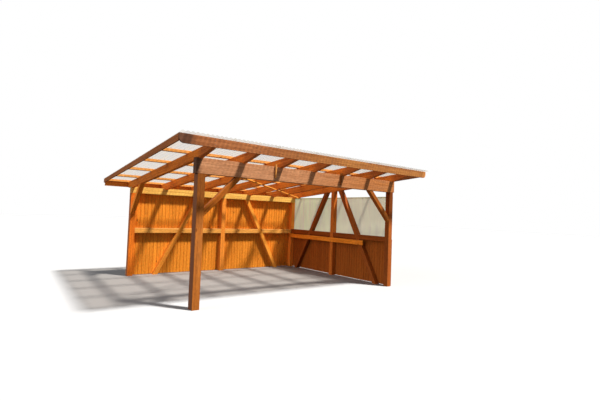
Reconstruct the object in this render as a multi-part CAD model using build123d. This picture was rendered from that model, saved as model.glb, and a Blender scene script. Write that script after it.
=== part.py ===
from build123d import *

import os
from math import cos, hypot, radians, sin, tan

# A lean-to garden shelter of sawn timber, in millimetres.
# The open front looks towards -Y and is the high side. X runs along the front beam, from left to right
# as seen from the front. The origin is on the ground, under the middle of the roof.

# Plan of the frame
RAFTERS = 7
RAFTER_SPACING = 800.0
FRAME_DEPTH = 3935.0  # outer face to outer face of the corner posts

# Timber sections
POST = 120.0
LEFT_POST_WIDTH = 130.0  # the front left post is the heaviest
LEFT_POST_DEPTH = 155.0
BEAM_DEPTH = 260.0
PLATE_DEPTH = 150.0
RAFTER_WIDTH = 75.0
RAFTER_DEPTH = 165.0
PURLIN_WIDTH = 50.0
PURLIN_DEPTH = 52.0
BRACE = 100.0
FRONT_KNEE = 90.0
RAIL_DEPTH = 118.0
HALF_LAP = 60.0  # of the rails' depth that runs on behind the posts and braces that cross them
ARRIS = 4.0  # slope on the long edges of the timbers
BOARD_ARRIS = 2.0

# Heights and roof
BEAM_UNDERSIDE = 2200.0
BEAM_LEFT_END = 36.0  # how far the beam runs past the left post
BEAM_RIGHT_END = 35.0
ROOF_PITCH = radians(5.3)
FRONT_NOTCH = 15.0  # depth of the rafter's seat at the front face of the beam
BACK_NOTCH = 23.5  # depth of the rafter's seat at the front face of the plate
FRONT_OVERHANG = 511.0  # front posts to the face of the fascia
BACK_OVERHANG = 280.0  # back posts to the back of the eaves fascia
SIDE_OVERHANG = 530.0  # outer rafter to the outside of the barge board

# Boards round the roof
FASCIA_THICKNESS = 28.0
FASCIA_DEPTH = 145.0
FASCIA_CORNER = 80.0  # radius of its lower corners
EAVES_THICKNESS = 25.0
EAVES_DEPTH = 160.0
BARGE_THICKNESS = 25.0
BARGE_FRONT_DEPTH = 112.0
BARGE_BACK_DEPTH = 90.0

# Purlins: all but the last are evenly spaced
PURLINS = 5
FIRST_PURLIN = 505.0  # from the front posts' face to its middle
LAST_PURLIN = 221.0  # from the back posts' face to its middle
LAST_SPACING = 765.0  # between the last two

# Roof sheets
SHEETS = 7
WAVE_PITCH = 76.0
WAVE_DEPTH = 16.0
FLANK = radians(34)  # slope of the straight flanks between the waves' arcs
WAVES_PER_SHEET = 12
LAP_WAVES = 1
SHEET_THICKNESS = 1.2
SHEET_FRONT_DRIP = 85.0  # beyond the fascia
SHEET_BACK_DRIP = 60.0  # beyond the eaves fascia
CLEARANCE = 0.3

# Braces and rails
KNEE_LEG = 700.0
KNEE_DEPTH = 100.0  # across the wall
SIDE_KNEE_DROP = 365.0  # from the plate down to where the left side's knee brace meets its post
BACK_BRACE_TOP = 723.0  # from the middle of the back wall
BACK_BRACE_FOOT_GAP = 653.5  # from the corner post's outer face to the middle of the foot
RIGHT_BRACE_TOP = 275.0  # from the middle of the right wall
RIGHT_BRACE_FOOT_GAP = 397.5
BACK_RAIL_HEIGHT = 1014.0
RIGHT_RAIL_HEIGHT = 1030.0
WIND_BRACE_WIDTH = 50.0
WIND_BRACE_THICKNESS = 22.0
WIND_BRACE_FRONT = 170.0  # from the front posts' face to its left end
WIND_BRACE_BACK = 355.0  # from the back posts' face to its right end

# Wall boards, inside board and windbreak
BOARD_THICKNESS = 22.0
BOARD_GROUND_GAP = 8.0
BOARD_TOP_GAP = 5.0
RIGHT_BOARDS_LAP = 60.0  # how far the right wall's boards cover its rail
INSIDE_BOARD_THICKNESS = 25.0
INSIDE_BOARD_DEPTH = 118.0
INSIDE_BOARD_BOTTOM = 895.0
INSIDE_BOARD_BACK_GAP = 45.0
INSIDE_BOARD_PAST_BRACE = 130.0  # how far it runs on in front of the front brace
WINDBREAK_THICKNESS = 3.0
WINDBREAK_HEIGHT = 1015.0

# Cleats on the beam's front face, each at the left of a rafter
FIRST_CLEAT_RAFTER = 3
FIRST_CLEAT_GAP = 103.0  # from the rafter's side to the cleat's middle
SECOND_CLEAT_RAFTER = 5
SECOND_CLEAT_GAP = 45.0
CLEAT_WIDTH = 22.0
CLEAT_PROJECTION = 35.0
CLEAT_HEIGHT = 250.0
CLEAT_RISE = 40.0  # above the top of the beam

# Places that follow from the sizes above
FRAME_LENGTH = (RAFTERS - 1) * RAFTER_SPACING + RAFTER_WIDTH
LEFT = -FRAME_LENGTH / 2
RIGHT = FRAME_LENGTH / 2
BEAM_TOP = BEAM_UNDERSIDE + BEAM_DEPTH

WAVE_RADIUS = (WAVE_PITCH / 4 * tan(FLANK) - WAVE_DEPTH / 2) / (1 / cos(FLANK) - 1)
HALF_FLANK = (WAVE_PITCH / 4 - WAVE_RADIUS * sin(FLANK)) / cos(FLANK)  # length of half a straight flank
LAP_LIFT = (SHEET_THICKNESS + CLEARANCE) / cos(FLANK)
SHEET_LEAN = (WAVE_DEPTH + SHEET_THICKNESS + LAP_LIFT) * sin(ROOF_PITCH)
ROOF_RUN = SHEET_FRONT_DRIP + FRONT_OVERHANG + FRAME_DEPTH + BACK_OVERHANG + SHEET_BACK_DRIP
SHEET_FRONT = -(ROOF_RUN + SHEET_LEAN) / 2
SHEET_BACK = SHEET_FRONT + ROOF_RUN

FASCIA_FRONT = SHEET_FRONT + SHEET_FRONT_DRIP
FASCIA_BACK = FASCIA_FRONT + FASCIA_THICKNESS
FRONT = FASCIA_FRONT + FRONT_OVERHANG  # outer face of the front posts
BACK = FRONT + FRAME_DEPTH  # outer face of the back posts
PLATE_FRONT = BACK - POST
EAVES_BACK = BACK + BACK_OVERHANG
EAVES_FRONT = EAVES_BACK - EAVES_THICKNESS
ROOF_LEFT = LEFT - SIDE_OVERHANG
ROOF_RIGHT = RIGHT + SIDE_OVERHANG
SIDE_MIDDLE = (FRONT + BACK) / 2
BACK_BRACE_FOOT = FRAME_LENGTH / 2 - BACK_BRACE_FOOT_GAP
RIGHT_BRACE_FOOT = FRAME_DEPTH / 2 - RIGHT_BRACE_FOOT_GAP


def rafter_underside(y):
    """Height of the rafters' lower edge at y, before the seats and tails are cut."""
    return BEAM_TOP - FRONT_NOTCH - (y - FRONT) * tan(ROOF_PITCH)


def rafter_top(y):
    return rafter_underside(y) + RAFTER_DEPTH / cos(ROOF_PITCH)


def roof_plane(y):
    """Height of the purlins' upper side, where the sheets lie."""
    return rafter_top(y) + PURLIN_DEPTH / cos(ROOF_PITCH)


PLATE_TOP = rafter_underside(PLATE_FRONT) + BACK_NOTCH
PLATE_UNDERSIDE = PLATE_TOP - PLATE_DEPTH
FASCIA_TOP = roof_plane(FASCIA_BACK)
FASCIA_BOTTOM = FASCIA_TOP - FASCIA_DEPTH
EAVES_TOP = roof_plane(EAVES_BACK)
EAVES_BOTTOM = EAVES_TOP - EAVES_DEPTH
SIDE_KNEE_TOP = PLATE_UNDERSIDE - SIDE_KNEE_DROP


def block(x_range, y_range, z_range):
    """A straight timber between two heights."""
    size = [high - low for low, high in (x_range, y_range, z_range)]
    middle = [(high + low) / 2 for low, high in (x_range, y_range, z_range)]
    return Pos(*middle) * Box(*size)


def side_profile(points, x_range):
    """A piece whose outline, given as (y, z) points, is the same all along X."""
    outline = Polygon(*points, align=None)
    face = Plane.YZ.offset(x_range[0]) * outline
    return extrude(face, x_range[1] - x_range[0], dir=(1, 0, 0))


def front_profile(points, y_range):
    """A piece whose outline, given as (x, z) points, is the same all along Y."""
    outline = Polygon(*points, align=None)
    face = Plane.XZ.offset(-y_range[0]) * outline
    return extrude(face, y_range[1] - y_range[0], dir=(0, 1, 0))


def eased(timber, slope=ARRIS):
    """The timber with its four longest edges sloped off."""
    return chamfer(timber.edges().sort_by(SortBy.LENGTH)[-4:], slope)


def under_rafters(foot, lean):
    """Where a line that leaves the ground at y = foot, and leans by lean per unit of height, meets the rafters."""
    fall = tan(ROOF_PITCH)
    y = (foot + lean * rafter_underside(0)) / (1 + lean * fall)
    return (y, rafter_underside(y))


# Posts
def front_post(x, width=POST, depth=POST):
    return eased(block((x, x + width), (FRONT, FRONT + depth), (0, BEAM_UNDERSIDE)))


def back_post(x):
    return block((x, x + POST), (PLATE_FRONT, BACK), (0, PLATE_UNDERSIDE))


def right_middle_post():
    y_low = SIDE_MIDDLE - POST / 2
    y_high = SIDE_MIDDLE + POST / 2
    outline = [(y_low, 0), (y_high, 0), (y_high, rafter_underside(y_high)), (y_low, rafter_underside(y_low))]
    return side_profile(outline, (RIGHT - POST, RIGHT))


# Beam, plate and roof timbers
def front_beam():
    x_range = (LEFT - BEAM_LEFT_END, RIGHT + BEAM_RIGHT_END)
    return eased(block(x_range, (FRONT, FRONT + POST), (BEAM_UNDERSIDE, BEAM_TOP)))


def back_plate():
    return eased(block((LEFT, RIGHT), (PLATE_FRONT, BACK), (PLATE_UNDERSIDE, PLATE_TOP)))


def rafter_left(number):
    return LEFT + (number - 1) * RAFTER_SPACING


def rafter(number):
    """One rafter: level seats on the beam and the plate, and tails that thin towards the fascias."""
    beam_back = FRONT + POST
    outline = [
        (FASCIA_BACK, rafter_top(FASCIA_BACK)),
        (FASCIA_BACK, FASCIA_BOTTOM),
        (FRONT, rafter_underside(FRONT)),
        (FRONT, BEAM_TOP),
        (beam_back, BEAM_TOP),
        (beam_back, rafter_underside(beam_back)),
        (PLATE_FRONT, rafter_underside(PLATE_FRONT)),
        (PLATE_FRONT, PLATE_TOP),
        (BACK, PLATE_TOP),
        (BACK, rafter_underside(BACK)),
        (EAVES_FRONT, EAVES_BOTTOM),
        (EAVES_FRONT, rafter_top(EAVES_FRONT)),
    ]
    x = rafter_left(number)
    timber = side_profile(outline, (x, x + RAFTER_WIDTH))
    lower_side = timber.faces().filter_by(lambda f: f.normal_at().Z < -0.9 and f.area > RAFTER_WIDTH * 2 * POST)
    long_edges = lower_side.edges().filter_by(Axis.X, reverse=True)
    return chamfer(long_edges, ARRIS)


def purlin(number):
    first = FRONT + FIRST_PURLIN
    last = BACK + LAST_PURLIN
    spacing = (last - LAST_SPACING - first) / (PURLINS - 2)
    y = last if number == PURLINS else first + (number - 1) * spacing
    length = ROOF_RIGHT - ROOF_LEFT - 2 * BARGE_THICKNESS
    seat = Plane(origin=(0, y, rafter_top(y)), x_dir=(1, 0, 0), z_dir=(0, sin(ROOF_PITCH), cos(ROOF_PITCH)))
    return eased(seat * Box(length, PURLIN_WIDTH, PURLIN_DEPTH, align=(Align.CENTER, Align.CENTER, Align.MIN)))


# Boards round the roof
def front_fascia():
    board = block((ROOF_LEFT, ROOF_RIGHT), (FASCIA_FRONT, FASCIA_BACK), (FASCIA_BOTTOM, FASCIA_TOP))
    lower_corners = board.edges().filter_by(Axis.Y).group_by(Axis.Z)[0]
    board = fillet(lower_corners, FASCIA_CORNER)
    return chamfer(board.faces().sort_by(Axis.Y)[0].edges(), BOARD_ARRIS)


def eaves_fascia():
    x_range = (ROOF_LEFT + BARGE_THICKNESS, ROOF_RIGHT - BARGE_THICKNESS)
    return eased(block(x_range, (EAVES_FRONT, EAVES_BACK), (EAVES_BOTTOM, EAVES_TOP)), BOARD_ARRIS)


def barge_board(x):
    """A board that covers the purlins' ends, and is narrower at the eaves."""
    outline = [
        (FASCIA_BACK, roof_plane(FASCIA_BACK)),
        (FASCIA_BACK, roof_plane(FASCIA_BACK) - BARGE_FRONT_DEPTH),
        (EAVES_BACK, roof_plane(EAVES_BACK) - BARGE_BACK_DEPTH),
        (EAVES_BACK, roof_plane(EAVES_BACK)),
    ]
    return eased(side_profile(outline, (x, x + BARGE_THICKNESS)), BOARD_ARRIS)


# Corrugated roof sheets
def wave_line(offset):
    """One face of a sheet, across its waves: tangent arcs and straight flanks, offset from the sheet's middle."""
    half_wave = WAVE_PITCH / 2
    reach = HALF_FLANK * cos(FLANK)
    climb = HALF_FLANK * sin(FLANK) + offset * cos(FLANK)
    fall = HALF_FLANK * sin(FLANK) - offset * cos(FLANK)
    sway = offset * sin(FLANK)
    line = []
    end = (-sway, offset * cos(FLANK))
    for k in range(2 * WAVES_PER_SHEET):
        up = 1 if k % 2 == 0 else -1
        height = climb if up == 1 else -fall
        start = (k * half_wave + reach - up * sway, height)
        crest = ((k + 0.5) * half_wave, up * WAVE_DEPTH / 2 + offset)
        line.append(Line(end, start))
        end = ((k + 1) * half_wave - reach + up * sway, height)
        line.append(ThreePointArc(start, crest, end))
    line.append(Line(end, (2 * WAVES_PER_SHEET * half_wave - sway, offset * cos(FLANK))))
    return line


def roof_sheet(number):
    """One sheet, counted from the left. Every second sheet lies on its neighbours' edge waves."""
    lower = wave_line(-SHEET_THICKNESS / 2)
    upper = wave_line(SHEET_THICKNESS / 2)
    left_edge = Line(lower[0] @ 0, upper[0] @ 0)
    right_edge = Line(lower[-1] @ 1, upper[-1] @ 1)
    section = make_face([*lower, *upper, left_edge, right_edge])
    cover = (WAVES_PER_SHEET - LAP_WAVES) * WAVE_PITCH
    x = (number - 1 - SHEETS / 2) * cover - LAP_WAVES * WAVE_PITCH / 2
    lift = CLEARANCE + (WAVE_DEPTH + SHEET_THICKNESS) / 2
    if number % 2 == 0:
        lift += LAP_LIFT
    up_slope = (0, -cos(ROOF_PITCH), sin(ROOF_PITCH))
    back_edge = Plane(origin=(x, SHEET_BACK, roof_plane(SHEET_BACK)), x_dir=(1, 0, 0), z_dir=up_slope)
    return extrude(back_edge * Pos(0, lift) * section, ROOF_RUN / cos(ROOF_PITCH), dir=up_slope)


# Braces
def front_knee(post_face, side):
    """A knee brace from a front post up to the beam; side is 1 where it leans to the right, -1 to the left."""
    across = FRONT_KNEE * 2**0.5
    outline = [
        (post_face, BEAM_UNDERSIDE - KNEE_LEG),
        (post_face, BEAM_UNDERSIDE - KNEE_LEG + across),
        (post_face + side * (KNEE_LEG - across), BEAM_UNDERSIDE),
        (post_face + side * KNEE_LEG, BEAM_UNDERSIDE),
    ]
    set_back = (POST - KNEE_DEPTH) / 2
    return eased(front_profile(outline, (FRONT + set_back, FRONT + POST - set_back)))


def left_side_knee():
    """The knee brace from the back left post forward and up to the first rafter."""
    across = BRACE * 2**0.5
    lower = SIDE_KNEE_TOP - across
    outline = [
        (PLATE_FRONT, lower),
        (PLATE_FRONT, SIDE_KNEE_TOP),
        under_rafters(PLATE_FRONT + SIDE_KNEE_TOP, -1),
        under_rafters(PLATE_FRONT + lower, -1),
    ]
    return eased(side_profile(outline, (LEFT, LEFT + KNEE_DEPTH)))


def back_wall_brace(side):
    """A long brace from the plate down and outward to the ground."""
    lean = (BACK_BRACE_FOOT - BACK_BRACE_TOP) / PLATE_UNDERSIDE
    half = BRACE / 2 * hypot(1, lean)
    outline = [
        (side * (BACK_BRACE_TOP - half), PLATE_UNDERSIDE),
        (side * (BACK_BRACE_TOP + half), PLATE_UNDERSIDE),
        (side * (BACK_BRACE_FOOT + half), 0),
        (side * (BACK_BRACE_FOOT - half), 0),
    ]
    return front_profile(outline, (PLATE_FRONT, BACK))


def right_wall_brace(side):
    """A long brace from the last rafter down and outward to the ground; side is 1 for the back one."""
    lean = -side * (RIGHT_BRACE_FOOT - RIGHT_BRACE_TOP) / rafter_underside(SIDE_MIDDLE)
    half = BRACE / 2 * hypot(1, lean)
    near_foot = SIDE_MIDDLE + side * (RIGHT_BRACE_FOOT - half)
    far_foot = SIDE_MIDDLE + side * (RIGHT_BRACE_FOOT + half)
    outline = [(near_foot, 0), (far_foot, 0), under_rafters(far_foot, lean), under_rafters(near_foot, lean)]
    return side_profile(outline, (RIGHT - POST, RIGHT))


# Rails: what crosses them is half-lapped over them, and flush with them
def back_rail(outer_part=POST):
    """The back rail, or only so much of its depth on the outer side."""
    x_range = (LEFT + POST, RIGHT - POST)
    return block(x_range, (BACK - outer_part, BACK), (BACK_RAIL_HEIGHT, BACK_RAIL_HEIGHT + RAIL_DEPTH))


def right_rail(outer_part=POST):
    y_range = (FRONT + POST, BACK - POST)
    return block((RIGHT - outer_part, RIGHT), y_range, (RIGHT_RAIL_HEIGHT, RIGHT_RAIL_HEIGHT + RAIL_DEPTH))


def lapped_rail(rail, crossing):
    """A rail with a notch in its inner side for each timber that crosses it."""
    notches = [timber & rail() for timber in crossing]
    return eased(rail()) - [notch - rail(HALF_LAP) for notch in notches]


BACK_CROSSING = [back_wall_brace(-1), back_post(-POST / 2), back_wall_brace(1)]
RIGHT_CROSSING = [right_wall_brace(-1), right_middle_post(), right_wall_brace(1)]


def wind_brace():
    """A thin batten on the undersides of the rafters, from the front left to the back right corner."""
    half_span = (FRAME_LENGTH - RAFTER_WIDTH) / 2
    front_end = FRONT + WIND_BRACE_FRONT
    back_end = BACK - WIND_BRACE_BACK
    middle = (front_end + back_end) / 2
    slope_run = (back_end - front_end) / cos(ROOF_PITCH)
    along = (2 * half_span, back_end - front_end, rafter_underside(back_end) - rafter_underside(front_end))
    seat = Plane(
        origin=(0, middle, rafter_underside(middle)), x_dir=along, z_dir=(0, sin(ROOF_PITCH), cos(ROOF_PITCH))
    )
    length = hypot(2 * half_span, slope_run)
    align = (Align.CENTER, Align.CENTER, Align.MAX)
    return seat * Box(length, WIND_BRACE_WIDTH, WIND_BRACE_THICKNESS, align=align)


# Boards and windbreak
def back_boards(x_range):
    y_range = (BACK, BACK + BOARD_THICKNESS)
    top = rafter_underside(y_range[1]) - BOARD_TOP_GAP
    return block(x_range, y_range, (BOARD_GROUND_GAP, top))


RIGHT_BOARDS_TOP = RIGHT_RAIL_HEIGHT + RIGHT_BOARDS_LAP


def right_boards(y_range):
    return block((RIGHT, RIGHT + BOARD_THICKNESS), y_range, (BOARD_GROUND_GAP, RIGHT_BOARDS_TOP))


def inside_board():
    """The long board nailed inside the right wall, from the corner post to past the front brace."""
    lean = (RIGHT_BRACE_FOOT - RIGHT_BRACE_TOP) / rafter_underside(SIDE_MIDDLE)
    half = BRACE / 2 * hypot(1, lean)
    brace_front = SIDE_MIDDLE - RIGHT_BRACE_FOOT - half + lean * (INSIDE_BOARD_BOTTOM + INSIDE_BOARD_DEPTH)
    front_end = brace_front - INSIDE_BOARD_PAST_BRACE
    x_range = (RIGHT - POST - INSIDE_BOARD_THICKNESS, RIGHT - POST)
    z_range = (INSIDE_BOARD_BOTTOM, INSIDE_BOARD_BOTTOM + INSIDE_BOARD_DEPTH)
    return eased(block(x_range, (front_end, BACK - INSIDE_BOARD_BACK_GAP), z_range), BOARD_ARRIS)


def windbreak(y_range):
    bottom = RIGHT_BOARDS_TOP
    return block((RIGHT, RIGHT + WINDBREAK_THICKNESS), y_range, (bottom, bottom + WINDBREAK_HEIGHT))


def beam_cleats():
    cleats = []
    for number, gap in ((FIRST_CLEAT_RAFTER, FIRST_CLEAT_GAP), (SECOND_CLEAT_RAFTER, SECOND_CLEAT_GAP)):
        middle = rafter_left(number) - gap
        x_range = (middle - CLEAT_WIDTH / 2, middle + CLEAT_WIDTH / 2)
        z_range = (BEAM_TOP + CLEAT_RISE - CLEAT_HEIGHT, BEAM_TOP + CLEAT_RISE)
        cleats.append(block(x_range, (FRONT - CLEAT_PROJECTION, FRONT), z_range))
    return Compound(cleats)


pieces = {
    "post_front_left": front_post(LEFT, LEFT_POST_WIDTH, LEFT_POST_DEPTH),
    "post_front_right": front_post(RIGHT - POST),
    "post_back_left": eased(back_post(LEFT)),
    "post_back_middle": eased(BACK_CROSSING[1]) - back_rail(HALF_LAP),
    "post_back_right": eased(back_post(RIGHT - POST)),
    "post_right_middle": eased(RIGHT_CROSSING[1]) - right_rail(HALF_LAP),
    "front_beam": front_beam(),
    "back_plate": back_plate(),
    "front_fascia": front_fascia(),
    "eaves_fascia": eaves_fascia(),
    "barge_board_left": barge_board(ROOF_LEFT),
    "barge_board_right": barge_board(ROOF_RIGHT - BARGE_THICKNESS),
    "knee_front_left": front_knee(LEFT + LEFT_POST_WIDTH, 1),
    "knee_front_right": front_knee(RIGHT - POST, -1),
    "knee_left_side": left_side_knee(),
    "brace_back_left": eased(BACK_CROSSING[0]) - back_rail(HALF_LAP),
    "brace_back_right": eased(BACK_CROSSING[2]) - back_rail(HALF_LAP),
    "brace_right_front": eased(RIGHT_CROSSING[0]) - right_rail(HALF_LAP),
    "brace_right_back": eased(RIGHT_CROSSING[2]) - right_rail(HALF_LAP),
    "wind_brace": wind_brace(),
    "back_rail": lapped_rail(back_rail, BACK_CROSSING),
    "right_rail": lapped_rail(right_rail, RIGHT_CROSSING),
    "inside_board": inside_board(),
    "back_boards_left": back_boards((LEFT, 0)),
    "back_boards_right": back_boards((0, RIGHT)),
    "right_boards_front": right_boards((FRONT, SIDE_MIDDLE)),
    "right_boards_back": right_boards((SIDE_MIDDLE, BACK + BOARD_THICKNESS)),
    "windbreak_front": windbreak((FRONT, SIDE_MIDDLE)),
    "windbreak_back": windbreak((SIDE_MIDDLE, BACK)),
    "beam_cleats": beam_cleats(),
}
for number in range(1, RAFTERS + 1):
    pieces[f"rafter_{number}"] = rafter(number)
for number in range(1, PURLINS + 1):
    pieces[f"purlin_{number}"] = purlin(number)
for number in range(1, SHEETS + 1):
    pieces[f"roof_sheet_{number}"] = roof_sheet(number)

os.makedirs("parts", exist_ok=True)
for name, piece in pieces.items():
    export_step(piece, f"parts/{name}.step")
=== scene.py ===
"""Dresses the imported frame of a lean-to garden shelter: timber, wall boards, windbreak, roof and fixings."""

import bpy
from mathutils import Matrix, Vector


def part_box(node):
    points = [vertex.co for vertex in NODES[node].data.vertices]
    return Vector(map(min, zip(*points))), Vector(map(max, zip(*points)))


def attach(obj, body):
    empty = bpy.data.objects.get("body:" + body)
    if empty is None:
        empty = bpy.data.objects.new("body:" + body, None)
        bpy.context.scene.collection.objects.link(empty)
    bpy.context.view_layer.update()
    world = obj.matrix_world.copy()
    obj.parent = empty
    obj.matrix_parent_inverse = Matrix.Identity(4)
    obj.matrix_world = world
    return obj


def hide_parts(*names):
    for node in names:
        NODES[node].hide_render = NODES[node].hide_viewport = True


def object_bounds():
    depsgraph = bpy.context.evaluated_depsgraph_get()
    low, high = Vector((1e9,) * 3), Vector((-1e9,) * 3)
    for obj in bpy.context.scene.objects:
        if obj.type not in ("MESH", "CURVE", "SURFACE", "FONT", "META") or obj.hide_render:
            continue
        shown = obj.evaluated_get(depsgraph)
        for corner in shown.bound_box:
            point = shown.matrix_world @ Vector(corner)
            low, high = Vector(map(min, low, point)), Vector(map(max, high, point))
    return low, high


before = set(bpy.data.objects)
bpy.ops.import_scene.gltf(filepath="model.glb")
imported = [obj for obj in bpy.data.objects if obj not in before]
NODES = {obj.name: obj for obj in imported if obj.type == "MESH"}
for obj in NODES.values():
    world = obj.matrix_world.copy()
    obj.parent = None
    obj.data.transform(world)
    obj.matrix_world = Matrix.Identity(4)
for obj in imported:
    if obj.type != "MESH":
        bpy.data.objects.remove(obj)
CAD_BOX = [list(corner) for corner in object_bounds()]

import math
import random
from collections import namedtuple
from functools import partial

import bmesh
import bpy
from mathutils import Matrix, Vector

bl_info = {
    "name": "Lean-to garden shelter",
    "version": (1, 0, 0),
    "blender": (4, 5, 0),
    "location": "3D View > Sidebar > Shelter",
    "description": "Boards, windbreak, fixings and materials for a timber garden shelter",
    "category": "Object",
}

MM = 0.001

# Axes and directions. X runs to the right, Y to the back and Z up.
X, Y = 0, 1
TO_RIGHT, TO_LEFT, TO_BACK, TO_FRONT, UP = (1, 0, 0), (-1, 0, 0), (0, 1, 0), (0, -1, 0), (0, 0, 1)

# The roof, with the real size of its waves
ROOF_PITCH = math.radians(5.3)
UP_SLOPE = (0, -math.cos(ROOF_PITCH), math.sin(ROOF_PITCH))
WAVE = 76 * MM
WAVES_PER_SHEET = 12
WAVES_PER_CAP = 3
CAP_HEIGHT, CAP_SINK = 6 * MM, 0.8 * MM
PURLIN_COUNT = 5

# Wall boards. The tongue's two places are measured from the inside of the wall, and the nails' shares across
# a board.
TONGUE = (8 * MM, 14 * MM)
TONGUE_CHAMFER = 0.5 * MM
NAIL_SHARES = (0.25, 0.75)
NAIL_HEIGHT = 1.5 * MM

# How far boards and nails differ, in millimetres, and how far their grain is moved, in metres
THINNER, SHORTER_TOP, SHORTER_FOOT, NAIL_PLAY = 1.5, 3, 2, 6
GRAIN_SHIFT = 9

# The windbreak's grid, and the share of its height at which its flat top strip starts
FILM_COLUMNS, FILM_ROWS = 60, 30
FILM_TOP = 0.95
FILM_GAP = 0.8 * MM

# Screws. Each row has a board, the axis along which its screws stand, their places on that axis, with timber
# behind them, and their shares of the board's height.
SCREW_HEIGHT = 1.6 * MM
FASCIA_SHARES = (0.3, 0.7)
BOARD_SCREWS = (
    ("inside_board", Y, (1.99, 1.07, 0.13, -0.83), (0.28, 0.72)),
    ("back_rail", X, (-0.03, 0.03, -1.32, 1.32), (0.3, 0.7)),
    ("right_rail", Y, (0.097, 0.157), (0.3, 0.7)),
)
CLEAT_INSET = 11 * MM
CLEAT_SCREWS = (50 * MM, 170 * MM)

# The camera's place in metres, its turns in radians, and its lens and sensor in millimetres
CAMERA_PLACE = (-5.0285, -7.8785, 1.585)
CAMERA_YAW, CAMERA_PITCH, CAMERA_ROLL = 0.6603, 0.0382, 0.0376
CAMERA_LENS, CAMERA_SENSOR = 23.754, 36.0

# The light. Each lamp has its name, strength, angle across in degrees, colour, and the direction towards it.
# The key stands where the sun stood, and is strong because the roof sheets let only half of it through.
# The side panel is the light that came in from the open left side.
LAMPS = (
    ("key", 13.0, 6, (1.0, 0.95, 0.87), (0.68, -1.0, 2.05)),
    ("side_panel", 1.8, 50, (1.0, 0.98, 0.95), (-1.0, 0.1, 0.45)),
)
SKY_COLOUR, SKY_STRENGTH = (0.90, 0.95, 1.0), 0.24
FLOOR_REACH = 60
FLOOR_BOUNCE = "#35332F"

# Stained spruce. The factors turn the stain's colour into those of the early wood and the late wood, of
# patches that took up more stain, and of knots, checks and end grain.
TIMBER_SHADES = ((1.16, 1.20, 1.24), (0.78, 0.70, 0.62))
BOARD_SHADES = ((1.08, 1.10, 1.12), (0.88, 0.83, 0.78))
PATCH_SHADE = (0.78, 0.72, 0.66)
DARK_SHADE = (0.30, 0.22, 0.18)
RAIN_GREY, END_STAIN_AND_SHADE = "#A39384", "#4A3228"

# Timbers drawn darker than their neighbours: factors on the stain of the back posts and braces. On the long
# left brace this is a painted shadow of the front left post, and the side knee brace is drawn redder as
# painted shade.
LEFT_POST_SHADE = (0.86, 0.62, 0.36)
LEFT_KNEE_SHADE = (1.0, 0.86, 0.6)
LEFT_BRACE_SHADE = (0.76, 0.68, 0.62)

# How far the long braces lean sideways for each metre of height, and the way of the wind brace in metres
BACK_LEAN, RIGHT_LEAN = 0.54, 0.58
WIND_BRACE = (4.8, 3.41, -0.33)


def linear(hex_colour):
    """An sRGB hex colour as linear red, green and blue."""
    values = [int(hex_colour[k:k + 2], 16) / 255 for k in (1, 3, 5)]
    return tuple(v / 12.92 if v <= 0.04045 else ((v + 0.055) / 1.055) ** 2.4 for v in values)


def scaled(colour, factors):
    return tuple(value * factor for value, factor in zip(colour, factors))


def colour_property(name, hex_colour, description):
    return bpy.props.FloatVectorProperty(
        name=name, description=description, subtype="COLOR", size=3, min=0, max=1, default=linear(hex_colour)
    )


def length_property(name, millimetres, description):
    return bpy.props.FloatProperty(
        name=name, description=description, unit="LENGTH", default=millimetres * MM
    )


class ShelterSizes(bpy.types.PropertyGroup):
    back_board: length_property("Back board", 86, "Width that each board of the back wall shows")
    right_board: length_property("Right board", 86, "Width that each board of the right wall shows")
    board_joint: length_property("Board joint", 7, "Gap between neighbouring boards")
    board_chamfer: length_property("Board chamfer", 9, "Width of the sloped edges that meet in a joint")
    nail_head: length_property("Nail head", 7, "Diameter of the nail heads in the wall boards")
    screw_head: length_property("Screw head", 11, "Diameter of the screw heads in the fascias and rails")
    roof_cap: length_property("Roof cap", 18, "Diameter of the caps on the roof screws")
    film_billow: length_property("Film billow", 14, "How far the windbreak stands out between its supports")


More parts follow.
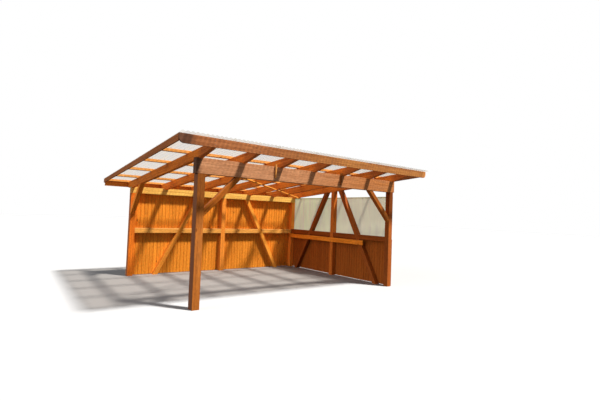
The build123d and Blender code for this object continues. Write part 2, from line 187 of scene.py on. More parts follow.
class ShelterColours(bpy.types.PropertyGroup):
    front_posts: colour_property("Front left post", "#8A501B", "Stain on the front left post")
    knee_left: colour_property("Left knee brace", "#AE621C", "Stain on the front left knee brace")
    front_right: colour_property("Front right post", "#8E4A18", "Stain on the front right post")
    knee_right: colour_property("Right knee brace", "#B06626", "Stain on the front right knee brace")
    back_posts: colour_property("Back posts", "#FFA03E", "Stain on the back posts, which stay bright")
    rafters: colour_property("Rafters", "#E4822C", "Stain on the rafters")
    # Painted light: the purlins and the cleats' pale part are drawn lighter and yellower, as their sunlit faces
    # look
    purlins: colour_property("Purlins", "#D89A52", "Thin stain on the purlins and the cleats")
    back_braces: colour_property("Back braces", "#F6A640", "Stain on the long braces of the back wall")
    # Painted light: the plate is drawn lighter and yellower, as its sunlit face looks
    plate: colour_property("Plate", "#FFD06C", "Thin stain on the plate")
    shelf: colour_property("Back rail", "#E8A852", "Rail of the back wall, which serves as a shelf")
    beam: colour_property("Beam", "#C08D69", "Front beam, bleached by the sun")
    beam_right: colour_property("Beam, right end", "#BC7C48", "Right end of the beam, which kept more stain")
    fascia: colour_property("Fascia", "#B6754A", "Front fascia, left part")
    fascia_right: colour_property("Fascia, right part", "#C08248", "Right part, which kept more stain")
    tails: colour_property("Rafter tails", "#BC682C", "Rafter ends outside the beam, gone dark")
    lath: colour_property("Lath", "#F6A848", "Wind brace under the rafters")
    barge: colour_property("Barge boards", "#94572C", "Barge boards, gone brown")
    eaves: colour_property("Eaves fascia", "#F89A3C", "Eaves fascia, which kept its stain inside")
    # Painted shade: drawn on the sides towards -X of the left posts, which look away from the sun
    shaded_left_side: colour_property("Shaded left side", "#6A4436", "Left side of the left posts, purple-brown")
    # Painted shade: the right rail is drawn darker, for its inner face looks away from the sun
    right_side: colour_property("Right rail", "#8A4410", "Stain on the right wall's rail")
    right_braces: colour_property("Right braces", "#A0541C", "Stain on the right wall's long braces")
    right_post: colour_property("Right middle post", "#C87028", "Stain on the right wall's middle post")
    inside_board: colour_property("Inside board", "#FF9A2C", "Long board inside the right wall")
    back_boards: colour_property("Back boards", "#EC9630", "Boards of the back wall")
    right_boards: colour_property("Right boards", "#A2571B", "Boards of the right wall")
    sheet: colour_property("Roof sheet", "#C6CCD4", "Tint of the roof sheets")
    film: colour_property("Film, back", "#DEEEC6", "Tint of the back part of the windbreak")
    film_front: colour_property("Film, front", "#E6EAD0", "Tint of the front part of the windbreak")
    floor: colour_property("Floor", "#8A8C90", "Colour of the floor")


def sizes():
    return bpy.context.scene.shelter_sizes


def colours():
    return bpy.context.scene.shelter_colours


# Materials

ADD, SUBTRACT, MULTIPLY, MULTIPLY_ADD, DIVIDE, ABSOLUTE, FRACTION, COSINE, ABOVE, DOT_PRODUCT = (
    {"operation": operation} for operation in (
        "ADD", "SUBTRACT", "MULTIPLY", "MULTIPLY_ADD", "DIVIDE", "ABSOLUTE", "FRACT", "COSINE",
        "GREATER_THAN", "DOT_PRODUCT")
)
COLOURS = {"data_type": "RGBA"}
COLOURS_MULTIPLIED = {"data_type": "RGBA", "blend_type": "MULTIPLY"}
SMOOTH = {"interpolation_type": "SMOOTHSTEP"}

# The colour changes along an axis, from one place to another, to a later colour: a change of stain, and on
# the cleats painted shadow.
Turn = namedtuple("Turn", "axis start stop colour")
# A darkened left end starts at a place on the X axis and reaches about so far: a stain left by rainwater, and
# on the beam also painted shadow of the first rafter.
EndStainAndShade = namedtuple("EndStainAndShade", "start extent")


def add_node(tree, kind, settings=None, *values, **named_values):
    """Adds a shader node. settings holds its own attributes. values fill its inputs in their order, and
    named_values by their names. A value is a number, a colour, a vector, another node's output, or a node for
    its first output."""
    node = tree.nodes.new("ShaderNode" + kind)
    for name, setting in (settings or {}).items():
        setattr(node, name, setting)
    inputs = list(zip((socket for socket in node.inputs if socket.enabled), values))
    inputs += [(node.inputs[name.replace("_", " ")], value) for name, value in named_values.items()]
    for socket, value in inputs:
        if isinstance(value, bpy.types.Node):
            value = next(output for output in value.outputs if output.enabled)
        if isinstance(value, bpy.types.NodeSocket):
            tree.links.new(value, socket)
        elif socket.type == "RGBA":
            socket.default_value = (*value, 1)
        else:
            socket.default_value = value
    return node


def emptied(owner):
    """Clears the node tree of a material or a world, and returns the function that adds nodes to it."""
    owner.use_nodes = True
    owner.node_tree.nodes.clear()
    return partial(add_node, owner.node_tree)


def sawn_grain(add, grain, boards):
    """Turns the texture along the grain. Returns the function that draws streaks, the place of a point, the
    number from 0 to 1 that each timber or board has of its own, and the turned texture."""
    place = add("TexCoord").outputs["Object"]
    if boards:
        tone = add("Attribute", {"attribute_name": "tone"}).outputs["Fac"]
        shift = add("Attribute", {"attribute_name": "shift"}).outputs["Vector"]
    else:
        tone = add("ObjectInfo").outputs["Random"]
        # So far apart that no two timbers show the same part of the pattern
        shift = add("CombineXYZ", {}, *(add("Math", MULTIPLY, tone, metres) for metres in (37.0, 91.0, 53.0)))
    moved = add("VectorMath", ADD, place, shift)
    rotation = Vector(grain).normalized().rotation_difference(Vector(TO_RIGHT)).to_euler()
    turned = add("Mapping", Vector=moved, Rotation=rotation)

    def streaks(along, across, detail=2.0, distortion=0.0):
        """Noise whose spots are along by across millimetres."""
        scale = tuple(1 / (size * MM) for size in (along, across, across))
        stretched = add("Mapping", Vector=turned, Scale=scale)
        return add("TexNoise", Vector=stretched, Scale=1.0, Detail=detail, Roughness=0.55,
                   Distortion=distortion)

    return streaks, add("SeparateXYZ", Vector=place).outputs, tone, turned


def timber(name, colour, grain, boards=False, grey=0.25, satin=0.55, turn=None, end_stain_and_shade=None, left_face=None):
    """Stained sawn spruce. The stain leaves the early wood bright and the late wood dark, so the grain shows as
    long soft streaks. They are drawn 20 mm apart, coarser than real growth rings, so that they show. boards is
    for wall boards, which bring a tone and a shift of their own. grey is how far rainwater has greyed what
    faces up, satin the roughness, turn a Turn, end_stain_and_shade a darkened left end, which is a stain left
    by rainwater and, on the beam, also painted shadow, and left_face the colour of painted shade on the side
    towards -X."""
    material = bpy.data.materials.new(name)
    add = emptied(material)
    streaks, place, tone, turned = sawn_grain(add, grain, boards)
    rings = streaks(900, 22, detail=3.0, distortion=0.3)
    fibre = streaks(250, 4)
    patches = streaks(600, 120)
    mottle = streaks(50, 16, detail=3.0)
    dark = scaled(colour, DARK_SHADE)

    # The late wood follows the rings, and the fibres fray its edges
    frayed = add("Math", MULTIPLY_ADD, rings, 0.75, add("Math", MULTIPLY, fibre, 0.25))
    late_wood = add("MapRange", SMOOTH, frayed, 0.36, 0.66)
    factors = BOARD_SHADES if boards else TIMBER_SHADES
    shades = [scaled(colour, factor) for factor in factors]
    if turn:
        turning = add("MapRange", SMOOTH, place[turn.axis], turn.start, turn.stop)
        shades = [add("Mix", COLOURS, turning, shade, scaled(turn.colour, factor))
                  for shade, factor in zip(shades, factors)]
    wood = add("Mix", COLOURS, late_wood, *shades)

    # Stain taken up unevenly along a timber
    uneven = add("MapRange", SMOOTH, patches, 0.45, 0.75, 0.0, 0.25 if boards else 0.5)
    wood = add("Mix", COLOURS, uneven, wood, scaled(colour, PATCH_SHADE))

    # Knots, up to 30 mm across, in two out of five cells of 340 by 130 mm
    cells = add("Mapping", Vector=turned, Scale=(1 / (340 * MM), 1 / (130 * MM), 1 / (130 * MM)))
    knots = add("TexVoronoi", {"feature": "F1"}, Vector=cells, Scale=1.0, Randomness=1.0)
    chosen = add("Math", ABOVE, add("SeparateColor", Color=knots.outputs["Color"]), 0.6)
    knot = add("Math", MULTIPLY, add("MapRange", SMOOTH, knots, 0.06, 0.13, 1.0, 0.0), chosen)
    wood = add("Mix", COLOURS, add("Math", MULTIPLY, knot, 0.7), wood, dark)

    # Drying checks: thin dark lines along the grain, here and there
    off_line = add("Math", ABSOLUTE, add("Math", SUBTRACT, streaks(700, 30, detail=1.0), 0.5))
    line = add("MapRange", SMOOTH, off_line, 0.0, 0.012, 1.0, 0.0)
    where = add("MapRange", SMOOTH, streaks(500, 200, detail=1.0), 0.52, 0.62)
    check = add("Math", MULTIPLY, line, where)
    wood = add("Mix", COLOURS, add("Math", MULTIPLY, check, 0.65), wood, dark)

    # Each piece has taken the stain a little differently, and the saw left its face rough, which mottles it
    spread = 0.16 if boards else 0.26
    own_tone = add("Math", MULTIPLY_ADD, tone, spread, 1 - spread / 2)
    bright = add("Math", MULTIPLY, own_tone, add("Math", ADD, mottle, 0.5))
    wood = add("Mix", COLOURS_MULTIPLIED, 1.0, wood, bright)

    # End grain is darker, and upward faces are greyer
    normal = add("NewGeometry").outputs["Normal"]
    along = tuple(Vector(grain).normalized())
    square_to_grain = add("Math", ABSOLUTE, add("VectorMath", DOT_PRODUCT, normal, along))
    wood = add("Mix", COLOURS, add("MapRange", SMOOTH, square_to_grain, 0.8, 0.95, 0.0, 0.55), wood, dark)
    upward = add("MapRange", SMOOTH, add("VectorMath", DOT_PRODUCT, normal, UP), 0.6, 0.9)
    washed = add("Math", MULTIPLY, upward, add("Math", MULTIPLY_ADD, patches, 0.3, grey))
    wood = add("Mix", COLOURS, washed, wood, linear(RAIN_GREY))
    # Painted shade: the side towards -X, away from the sun, is drawn darker and purple-brown
    if left_face:
        leftward = add("MapRange", SMOOTH, add("VectorMath", DOT_PRODUCT, normal, TO_LEFT), 0.7, 0.9)
        painted_left_shade = add("Math", MULTIPLY, leftward, add("Math", MULTIPLY_ADD, fibre, 0.3, 0.6))
        wood = add("Mix", COLOURS, painted_left_shade, wood, left_face)
    # Darker towards the left end: a stain left by rainwater, and on the beam also painted shadow of the first
    # rafter
    if end_stain_and_shade:
        reach = add("Math", MULTIPLY_ADD, streaks(150, 60, detail=3.0), end_stain_and_shade.extent, place[X])
        fade_start, fade_stop = (end_stain_and_shade.start + share * end_stain_and_shade.extent for share in (0.7, 1.45))
        stain = add("MapRange", SMOOTH, reach, fade_start, fade_stop, 0.85, 0.0)
        wood = add("Mix", COLOURS, stain, wood, linear(END_STAIN_AND_SHADE))

    # Rings and fibres stand up in relief, and checks and knots lie deeper
    raised = add("Math", MULTIPLY, add("Math", ADD, rings, fibre), 0.6)
    height = add("Math", SUBTRACT, raised, add("Math", MULTIPLY_ADD, knot, 0.4, check))
    bump = add("Bump", Height=height, Strength=0.35, Distance=2 * MM)
    rough = add("Math", MULTIPLY_ADD, fibre, 0.25, satin)
    shader = add("BsdfPrincipled", Base_Color=wood, Roughness=rough, IOR=1.5, Specular_IOR_Level=0.15,
                 Normal=bump)
    add("OutputMaterial", Surface=shader)
    return material


def galvanised_steel():
    """Hot-dip zinc on the screw and nail heads, dull after years outdoors: grey with a faint darker spangle,
    whose flakes are 2.5 mm wide."""
    name = "galvanised_steel"
    if name in bpy.data.materials:
        return bpy.data.materials[name]
    material = bpy.data.materials.new(name)
    add = emptied(material)
    spangle = add("TexVoronoi", Vector=add("TexCoord").outputs["Object"], Scale=1 / (2.5 * MM))
    colour = add("Mix", COLOURS, spangle, linear("#8E8F90"), linear("#6E6A66"))
    rough = add("Math", MULTIPLY_ADD, spangle, 0.2, 0.4)
    add("OutputMaterial", Surface=add("BsdfPrincipled", Base_Color=colour, Metallic=0.9, Roughness=rough))
    return material


def corrugated_plastic(first_lap, sheet_cover):
    """Extruded translucent PVC, dulled by sun and dust: milky, so that it glows where the sun comes through,
    with a thin gloss, and faint dirt that has run down it in streaks 50 by 900 mm. first_lap is the middle of
    the first lap on the X axis, and the laps are sheet_cover apart."""
    material = bpy.data.materials.new("corrugated_pvc")
    add = emptied(material)
    place = add("TexCoord").outputs["Object"]
    runs = add("Mapping", Vector=place, Scale=(1 / (50 * MM), 1 / (900 * MM), 1 / (900 * MM)))
    dirt = add("TexNoise", Vector=runs, Scale=1.0, Detail=3.0, Roughness=0.6)
    dusty = add("MapRange", SMOOTH, dirt, 0.45, 0.75)
    colour = add("Mix", COLOURS, dusty, colours().sheet, linear("#CFC8BC"))
    milk = add("BsdfTranslucent", Color=colour)
    skin = add("BsdfPrincipled", Base_Color=colour, Roughness=0.28, IOR=1.54)
    body = add("MixShader", {}, 0.3, milk, skin)

    # Two sheets lie together in a lap and stay as clear as one: there each layer is drawn half as dense
    past_lap = add("Math", SUBTRACT, add("SeparateXYZ", Vector=place), first_lap)
    across_sheet = add("Math", FRACTION, add("Math", DIVIDE, past_lap, sheet_cover))
    from_middle = add("Math", ABSOLUTE, add("Math", SUBTRACT, across_sheet, 0.5))
    lap = add("Math", ABOVE, from_middle, 0.5 - WAVE / 2 / sheet_cover)
    clear = add("BsdfTransparent", Color=add("Mix", COLOURS, lap, linear("#E4E0DC"), linear("#F1EFEC")))

    # The steep flanks between crest and trough look denser, because one sees through more plastic there
    flank = add("Math", COSINE, add("Math", MULTIPLY, past_lap, 2 * math.pi / WAVE))
    layer = add("Math", MULTIPLY_ADD, dirt, 0.08, add("Math", MULTIPLY_ADD, flank, 0.07, 0.09))
    density = add("Math", MULTIPLY, layer, add("Math", MULTIPLY_ADD, lap, -0.5, 1.0))
    add("OutputMaterial", Surface=add("MixShader", {}, density, clear, body))
    return material


def windbreak_film():
    """Blown polythene film, hazed by weather: a grey-green veil with faint upright creases, 90 mm apart."""
    material = bpy.data.materials.new("hazed_polythene_film")
    add = emptied(material)
    place = add("TexCoord").outputs["Object"]
    creased = add("Mapping", Vector=place, Scale=(1.0, 1 / (90 * MM), 1 / (700 * MM)))
    crease = add("TexNoise", Vector=creased, Scale=1.0, Detail=3.0, Roughness=0.6)
    towards_back = add("MapRange", SMOOTH, add("SeparateXYZ", Vector=place).outputs[Y], -0.6, 1.2)
    tint = add("Mix", COLOURS, towards_back, colours().film_front, colours().film)
    colour = add("Mix", COLOURS, add("MapRange", SMOOTH, crease, 0.4, 0.7), tint, linear("#DCDCCC"))
    milk = add("BsdfTranslucent", Color=colour)
    skin = add("BsdfPrincipled", Base_Color=colour, Roughness=0.35, IOR=1.51)
    body = add("MixShader", {}, 0.5, milk, skin)
    density = add("Math", MULTIPLY_ADD, crease, 0.1, 0.87)
    add("OutputMaterial", Surface=add("MixShader", {}, density, add("BsdfTransparent"), body))
    return material


# Mesh pieces

def join_rows(bm, lower, upper, closed=False, smooth=True):
    """Makes the faces between two rows of vertices. Closed rows are rings."""
    pairs = list(zip(lower, upper))
    neighbours = pairs[1:] + pairs[:1] if closed else pairs[1:]
    for (low, high), (next_low, next_high) in zip(pairs, neighbours):
        bm.faces.new((low, next_low, next_high, high)).smooth = smooth


def board_mesh():
    """An empty mesh for boards that bring a tone and a shift of their own."""
    bm = bmesh.new()
    bm.verts.layers.float.new("tone")
    bm.verts.layers.float_vector.new("shift")
    return bm


def add_board(bm, low, high, chamfer, tone, shift):
    """An upright board with sloped long edges, from the corner low to the corner high."""
    x, y = ((start, start + chamfer, stop - chamfer, stop) for start, stop in zip(low.xy, high.xy))
    outline = ((x[1], y[0]), (x[2], y[0]), (x[3], y[1]), (x[3], y[2]),
               (x[2], y[3]), (x[1], y[3]), (x[0], y[2]), (x[0], y[1]))
    foot, top = ([bm.verts.new((*corner, z)) for corner in outline] for z in (low.z, high.z))
    bm.faces.new(foot)
    bm.faces.new(reversed(top))
    join_rows(bm, foot, top, closed=True, smooth=False)
    tones, shifts = bm.verts.layers.float["tone"], bm.verts.layers.float_vector["shift"]
    for vertex in foot + top:
        vertex[tones], vertex[shifts] = tone, shift


def add_dome(bm, centre, normal, radius, height, sides=10, steps=2):
    """A domed head that stands on a face with the given normal."""
    centre = Vector(centre)
    turn = Vector(UP).rotation_difference(Vector(normal).normalized()).to_matrix()
    rings = []
    for step in range(steps + 1):
        rise = step / (steps + 1) * math.pi / 2
        rings.append([bm.verts.new(centre + turn @ Vector((
            radius * math.cos(rise) * math.cos(2 * math.pi * k / sides),
            radius * math.cos(rise) * math.sin(2 * math.pi * k / sides),
            height * math.sin(rise)))) for k in range(sides)])
    bm.faces.new(reversed(rings[0]))
    for lower, upper in zip(rings, rings[1:]):
        join_rows(bm, lower, upper, closed=True)
    tip = bm.verts.new(centre + turn @ Vector((0, 0, height)))
    for vertex, neighbour in zip(rings[-1], rings[-1][1:] + rings[-1][:1]):
        bm.faces.new((vertex, neighbour, tip)).smooth = True


def clad(bm, nails, node, axis, cover, supports, draw):
    """Fills a wall's box with upright boards along an axis, each with its own length, thickness and tone, and
    nails them to the timbers that stand behind them."""
    s = sizes()
    low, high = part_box(node)
    outward = Y if axis == X else X
    nail_rows = [(start.z + min(stop.z, high.z)) / 2 for start, stop in map(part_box, supports)]
    count = round((high[axis] - low[axis]) / cover)
    width = (high[axis] - low[axis]) / count
    for number in range(count):
        has_next = number < count - 1
        a, b = Vector(low), Vector(high)
        a[axis] = low[axis] + number * width + (s.board_joint / 2 if number else 0)
        b[axis] = low[axis] + (number + 1) * width - (s.board_joint / 2 if has_next else 0)
        b[outward] -= draw.uniform(0, THINNER) * MM
        b.z -= draw.uniform(0, SHORTER_TOP) * MM
        a.z += draw.uniform(0, SHORTER_FOOT) * MM
        shift = tuple(draw.uniform(-GRAIN_SHIFT, GRAIN_SHIFT) for _ in range(3))
        add_board(bm, a, b, s.board_chamfer, draw.random(), shift)
        if has_next:
            # The tongue closes the joint, set back so that the joint shows dark
            tongue_low, tongue_high = a.copy(), b.copy()
            tongue_low[axis], tongue_high[axis] = b[axis], b[axis] + s.board_joint
            tongue_low[outward], tongue_high[outward] = (low[outward] + depth for depth in TONGUE)
            add_board(bm, tongue_low, tongue_high, TONGUE_CHAMFER, 0.0, shift)
        for row in nail_rows:
            for share in NAIL_SHARES:
                spot = Vector((0, 0, row + draw.uniform(-NAIL_PLAY, NAIL_PLAY) * MM))
                spot[axis] = a[axis] + share * (b[axis] - a[axis])
                spot[outward] = b[outward]
                normal = TO_BACK if axis == X else TO_RIGHT
                add_dome(nails, spot, normal, s.nail_head / 2, NAIL_HEIGHT, sides=8, steps=1)


def film_point(low, high, along, up):
    """A point of the windbreak, at two shares of its size. It is held flat at its edges and along its top
    strip, and stands out between them in slanting folds about 700 and 270 mm apart."""
    y = low.y + along * (high.y - low.y)
    z = low.z + up * (high.z - low.z)
    slack = 0
    if 0 < along < 1 and 0 < up < FILM_TOP:
        slack = (math.sin(math.pi * along) * math.sin(math.pi * min(1, up * 1.05))) ** 0.7
    folds = 0.5 + 0.3 * math.sin(y * 9 + 1.3 * z) + 0.2 * math.sin(y * 23 - 4 * z + 1)
    return low.x + FILM_GAP + sizes().film_billow * slack * folds, y, z


def finish_piece(name, bm, material, replaced=()):
    """Makes an object of a mesh, gives it its material and body, and hides the nodes that it stands for."""
    bmesh.ops.recalc_face_normals(bm, faces=bm.faces)
    mesh = bpy.data.meshes.new(name)
    bm.to_mesh(mesh)
    bm.free()
    piece = bpy.data.objects.new(name, mesh)
    bpy.context.scene.collection.objects.link(piece)
    mesh.materials.append(material)
    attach(piece, "root")
    if replaced:
        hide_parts(*replaced)
    return piece


def dress(node_name, material):
    """Gives a node of the frame its material, and leaves its mesh as it is."""
    for slot in NODES[node_name].material_slots:
        slot.link = "OBJECT"
        slot.material = material


# Operators

class SHELTER_OT_stage(bpy.types.Operator):
    """Camera, pale floor with the shelter's shadow, white backdrop and lamps"""
    bl_idname = "shelter.stage"
    bl_label = "Stage"

    def execute(self, context):
        self.place_camera(context.scene)
        self.lay_floor(context.scene)
        self.light(context.scene)
        return {"FINISHED"}

    def place_camera(self, scene):
        sin, cos = math.sin, math.cos
        forward = Vector((
            sin(CAMERA_YAW) * cos(CAMERA_PITCH), cos(CAMERA_YAW) * cos(CAMERA_PITCH), sin(CAMERA_PITCH)))
        level = Vector((cos(CAMERA_YAW), -sin(CAMERA_YAW), 0))
        upright = level.cross(forward)
        side = cos(CAMERA_ROLL) * level + sin(CAMERA_ROLL) * upright
        top = -sin(CAMERA_ROLL) * level + cos(CAMERA_ROLL) * upright
        data = bpy.data.cameras.new("camera")
        data.sensor_width = CAMERA_SENSOR
        data.lens = CAMERA_LENS
        camera = bpy.data.objects.new("camera", data)
        rows = zip(side, top, -forward, CAMERA_PLACE)
        camera.matrix_world = Matrix((*rows, (0, 0, 0, 1)))
        scene.collection.objects.link(camera)
        scene.camera = camera

    def lay_floor(self, scene):
        bm = bmesh.new()
        bmesh.ops.create_grid(bm, x_segments=1, y_segments=1, size=FLOOR_REACH)
        mesh = bpy.data.meshes.new("floor")
        bm.to_mesh(mesh)
        bm.free()
        floor = bpy.data.objects.new("floor", mesh)
        scene.collection.objects.link(floor)
        material = bpy.data.materials.new("floor_paint")
        add = emptied(material)
        # Pale to the eye, but it throws little light back on the timber
        seen = add("LightPath").outputs["Is Camera Ray"]
        colour = add("Mix", COLOURS, seen, linear(FLOOR_BOUNCE), colours().floor)
        add("OutputMaterial", Surface=add("BsdfPrincipled", Base_Color=colour, Roughness=0.9))
        mesh.materials.append(material)

    def light(self, scene):
        world = bpy.data.worlds.new("studio")
        add = emptied(world)
        seen = add("LightPath").outputs["Is Camera Ray"]
        sky = add("Background", Color=SKY_COLOUR, Strength=SKY_STRENGTH)
        white = add("Background", Color=(1, 1, 1), Strength=1.0)
        add("OutputWorld", Surface=add("MixShader", {}, seen, sky, white))
        scene.world = world
        for name, energy, angle, colour, towards in LAMPS:
            data = bpy.data.lights.new(name, "SUN")
            data.energy = energy
            data.angle = math.radians(angle)
            data.color = colour
            lamp = bpy.data.objects.new(name, data)
            lamp.rotation_euler = Vector(towards).to_track_quat("Z", "Y").to_euler()
            scene.collection.objects.link(lamp)


class SHELTER_OT_timber(bpy.types.Operator):
    """Stained timber on the posts, beams, rafters, purlins, braces and rails"""
    bl_idname = "shelter.timber"
    bl_label = "Timber"

    def execute(self, context):
        c = colours()
        beam_end, fascia_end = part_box("front_beam")[0].x, CAD_BOX[0][X]
        # At the beam's left end the dark is partly painted shadow of the first rafter
        beam_looks = {"turn": Turn(X, -1.2, 2.2, c.beam_right), "end_stain_and_shade": EndStainAndShade(beam_end, 0.13)}
        fascia_looks = {"turn": Turn(X, -2.2, 0.6, c.fascia_right), "end_stain_and_shade": EndStainAndShade(fascia_end, 0.4)}
        rafter_looks = {"turn": Turn(Y, -1.98, -1.75, c.rafters)}
        # Painted shadow: the right cleat, in the shadow of a rafter, turns to the front posts' dark stain
        cleat_looks_with_painted_shadow = {"turn": Turn(X, -0.6, 0.4, c.front_posts)}
        # Painted shade for the sides towards -X of the left posts
        painted_left_shade = {"left_face": c.shaded_left_side}
        left_post = scaled(c.back_posts, LEFT_POST_SHADE)
        # The side knee and the long left brace carry painted shade
        left_knee = scaled(c.back_posts, LEFT_KNEE_SHADE)
        left_brace = scaled(c.back_braces, LEFT_BRACE_SHADE)
        # Each row: how its nodes' names start, the material's name, its stain, its grain and its other looks
        finishes = {start: timber(name, stain, grain, **looks) for start, name, stain, grain, looks in (
            ("post_front_left", "stained_spruce_front_post", c.front_posts, UP, painted_left_shade),
            ("post_front_right", "stained_spruce_right_corner_post", c.front_right, UP, {}),
            ("post_back", "stained_spruce_back_post", c.back_posts, UP, {}),
            ("post_back_left", "stained_spruce_left_corner_post", left_post, UP, painted_left_shade),
            ("post_right", "stained_spruce_right_post", c.right_post, UP, {}),
            ("front_beam", "bleached_spruce_beam", c.beam, TO_RIGHT, {"grey": 0.5, **beam_looks}),
            # Drawn lighter and yellower: painted light
            ("back_plate", "thin_stained_spruce_plate", c.plate, TO_RIGHT, {}),
            ("back_rail", "thin_stained_spruce_shelf", c.shelf, TO_RIGHT, {}),
            # The right rail's colour carries painted shade
            ("right_rail", "stained_spruce_right_rail", c.right_side, TO_BACK, {}),
            ("inside_board", "stained_spruce_inside_board", c.inside_board, TO_BACK, {}),
            ("rafter", "stained_spruce_rafter", c.tails, UP_SLOPE, rafter_looks),
            # Drawn lighter and yellower: painted light
            ("purlin", "thin_stained_spruce_purlin", c.purlins, TO_RIGHT, {}),
            ("front_fascia", "bleached_spruce_fascia", c.fascia, TO_RIGHT, {"grey": 0.5, **fascia_looks}),
            ("eaves_fascia", "stained_spruce_eaves", c.eaves, TO_RIGHT, {"grey": 0.6}),
            ("barge", "browned_spruce_barge", c.barge, UP_SLOPE, {"grey": 0.6}),
            ("beam_cleats", "spruce_cleat", c.purlins, UP, cleat_looks_with_painted_shadow),
            ("knee_front_left", "stained_spruce_knee_left", c.knee_left, (1, 0, 1), {}),
            ("knee_front_right", "stained_spruce_knee_right", c.knee_right, (-1, 0, 1), {}),
            ("knee_left_side", "stained_spruce_knee_side", left_knee, (0, -1, 1), {}),
            ("brace_back_left", "stained_spruce_brace_a", left_brace, (BACK_LEAN, 0, 1), {}),
            ("brace_back_right", "stained_spruce_brace_b", c.back_braces, (-BACK_LEAN, 0, 1), {}),
            ("brace_right_front", "stained_spruce_brace_c", c.right_braces, (0, RIGHT_LEAN, 1), {}),
            ("brace_right_back", "stained_spruce_brace_d", c.right_braces, (0, -RIGHT_LEAN, 1), {}),
            ("wind_brace", "thin_stained_spruce_lath", c.lath, WIND_BRACE, {}),
        )}
        for node_name in NODES:
            starts = [start for start in finishes if node_name.startswith(start)]
            if starts:
                dress(node_name, finishes[max(starts, key=len)])
        return {"FINISHED"}


class SHELTER_OT_wall_boards(bpy.types.Operator):
    """Separate upright boards on the back wall and the right wall, with the nails that hold them"""
    bl_idname = "shelter.wall_boards"
    bl_label = "Wall boards"

    def execute(self, context):
        s, c = sizes(), colours()
        draw = random.Random(11)
        nails = bmesh.new()
        for wall, halves, axis, cover, stain, supports in (
            ("back", ("left", "right"), X, s.back_board, c.back_boards, ("back_rail", "back_plate")),
            ("right", ("front", "back"), Y, s.right_board, c.right_boards, ("right_rail",)),
        ):
            material = timber(f"stained_spruce_{wall}_boards", stain, UP, boards=True, satin=0.65)
            for half in halves:
                node = f"{wall}_boards_{half}"
                bm = board_mesh()
                clad(bm, nails, node, axis, cover, supports, draw)
                finish_piece(f"{wall}_wall_boards_{half}", bm, material, [node])
        finish_piece("wall_nails", nails, galvanised_steel())
        return {"FINISHED"}


class SHELTER_OT_windbreak(bpy.types.Operator):
    """Hazy film over the right wall's openings, with a folded hem along its top"""
    bl_idname = "shelter.windbreak"
    bl_label = "Windbreak"

    def execute(self, context):
        material = windbreak_film()
        for half in ("front", "back"):
            node = f"windbreak_{half}"
            low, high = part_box(node)
            bm = bmesh.new()
            rows = [[bm.verts.new(film_point(low, high, i / FILM_COLUMNS, j / FILM_ROWS))
                     for i in range(FILM_COLUMNS + 1)] for j in range(FILM_ROWS + 1)]
            for lower, upper in zip(rows, rows[1:]):
                join_rows(bm, lower, upper)
            # The hem is a second layer on the top row
            outward = Vector((FILM_GAP, 0, 0))
            hem = [[bm.verts.new(vertex.co + outward) for vertex in row] for row in rows[-2:]]
            join_rows(bm, *hem)
            film = finish_piece(f"film_{half}", bm, material, [node])
        return {"FINISHED"}


class SHELTER_OT_roof(bpy.types.Operator):
    """Translucent sheets, and the caps on the screws that hold them to the purlins"""
    bl_idname = "shelter.roof"
    bl_label = "Roof sheets"

    def execute(self, context):
        sheets = sorted(name for name in NODES if name.startswith("roof_sheet"))
        first, second = (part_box(name)[0].x for name in sheets[:2])
        material = corrugated_plastic(first + WAVE / 2, second - first)
        caps = bmesh.new()
        fall = math.tan(ROOF_PITCH)
        for number, name in enumerate(sheets):
            dress(name, material)
            low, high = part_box(name)
            # A sheet's first crest is a quarter wave in. In a lap it has the screw of the sheet before.
            first_wave = 1 if number else 0
            for purlin in range(1, PURLIN_COUNT + 1):
                purlin_low, purlin_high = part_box(f"purlin_{purlin}")
                y = (purlin_low.y + purlin_high.y) / 2
                z = high.z - (y - low.y) * fall - CAP_SINK
                for wave in range(first_wave, WAVES_PER_SHEET, WAVES_PER_CAP):
                    x = low.x + WAVE * (0.25 + wave)
                    add_dome(caps, (x, y, z), (0, fall, 1), sizes().roof_cap / 2, CAP_HEIGHT, steps=3)
        finish_piece("roof_caps", caps, galvanised_steel())
        return {"FINISHED"}


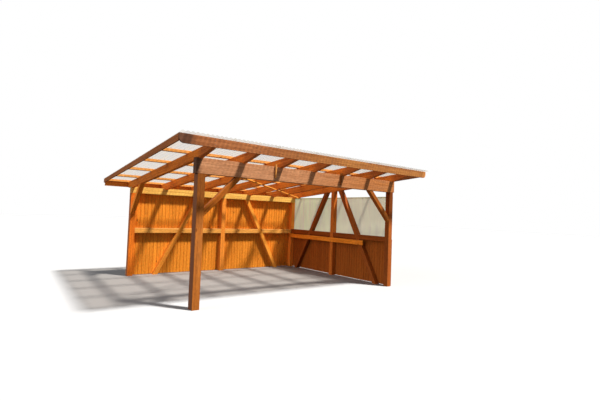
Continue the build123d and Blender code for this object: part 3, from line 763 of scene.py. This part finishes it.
class SHELTER_OT_fixings(bpy.types.Operator):
    """Screw heads in the fascias, the rails, the inside board and the cleats"""
    bl_idname = "shelter.fixings"
    bl_label = "Fixings"

    def execute(self, context):
        heads = bmesh.new()
        radius = sizes().screw_head / 2

        def screw(x, y, z, normal):
            add_dome(heads, (x, y, z), normal, radius, SCREW_HEIGHT, sides=8, steps=1)

        front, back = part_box("front_fascia"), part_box("eaves_fascia")
        for rafter in (name for name in NODES if name.startswith("rafter_")):
            low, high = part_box(rafter)
            for fascia, y, normal in ((front, front[0].y, TO_FRONT), (back, back[1].y, TO_BACK)):
                for share in FASCIA_SHARES:
                    z = fascia[0].z + share * (fascia[1].z - fascia[0].z)
                    screw((low.x + high.x) / 2, y, z, normal)
        for board, axis, places, shares in BOARD_SCREWS:
            low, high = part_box(board)
            for place in places:
                x, y, normal = (place, low.y, TO_FRONT) if axis == X else (low.x, place, TO_LEFT)
                for share in shares:
                    screw(x, y, low.z + share * (high.z - low.z), normal)
        low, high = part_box("beam_cleats")
        for x in (low.x + CLEAT_INSET, high.x - CLEAT_INSET):
            for above in CLEAT_SCREWS:
                screw(x, low.y, low.z + above, TO_FRONT)
        finish_piece("screw_heads", heads, galvanised_steel())
        return {"FINISHED"}


class SHELTER_PT_panel(bpy.types.Panel):
    """Lists the shelter's sizes, colours and steps"""
    bl_idname = "SHELTER_PT_panel"
    bl_label = "Shelter"
    bl_space_type = "VIEW_3D"
    bl_region_type = "UI"
    bl_category = "Shelter"

    def draw(self, context):
        for group in (sizes(), colours()):
            for name in group.__annotations__:
                self.layout.prop(group, name)
        for step in STEPS:
            self.layout.operator(step.bl_idname)


STEPS = [SHELTER_OT_stage, SHELTER_OT_timber, SHELTER_OT_wall_boards, SHELTER_OT_windbreak, SHELTER_OT_roof,
         SHELTER_OT_fixings]
CLASSES = [ShelterSizes, ShelterColours, *STEPS, SHELTER_PT_panel]


def register():
    for cls in CLASSES:
        bpy.utils.register_class(cls)
    bpy.types.Scene.shelter_sizes = bpy.props.PointerProperty(type=ShelterSizes)
    bpy.types.Scene.shelter_colours = bpy.props.PointerProperty(type=ShelterColours)


def unregister():
    del bpy.types.Scene.shelter_colours
    del bpy.types.Scene.shelter_sizes
    for cls in reversed(CLASSES):
        bpy.utils.unregister_class(cls)


def main():
    register()
    bpy.context.scene.view_settings.view_transform = "Standard"
    bpy.ops.shelter.stage()
    bpy.ops.shelter.timber()
    bpy.ops.shelter.wall_boards()
    bpy.ops.shelter.windbreak()
    bpy.ops.shelter.roof()
    bpy.ops.shelter.fixings()


if __name__ == "__main__":
    main()
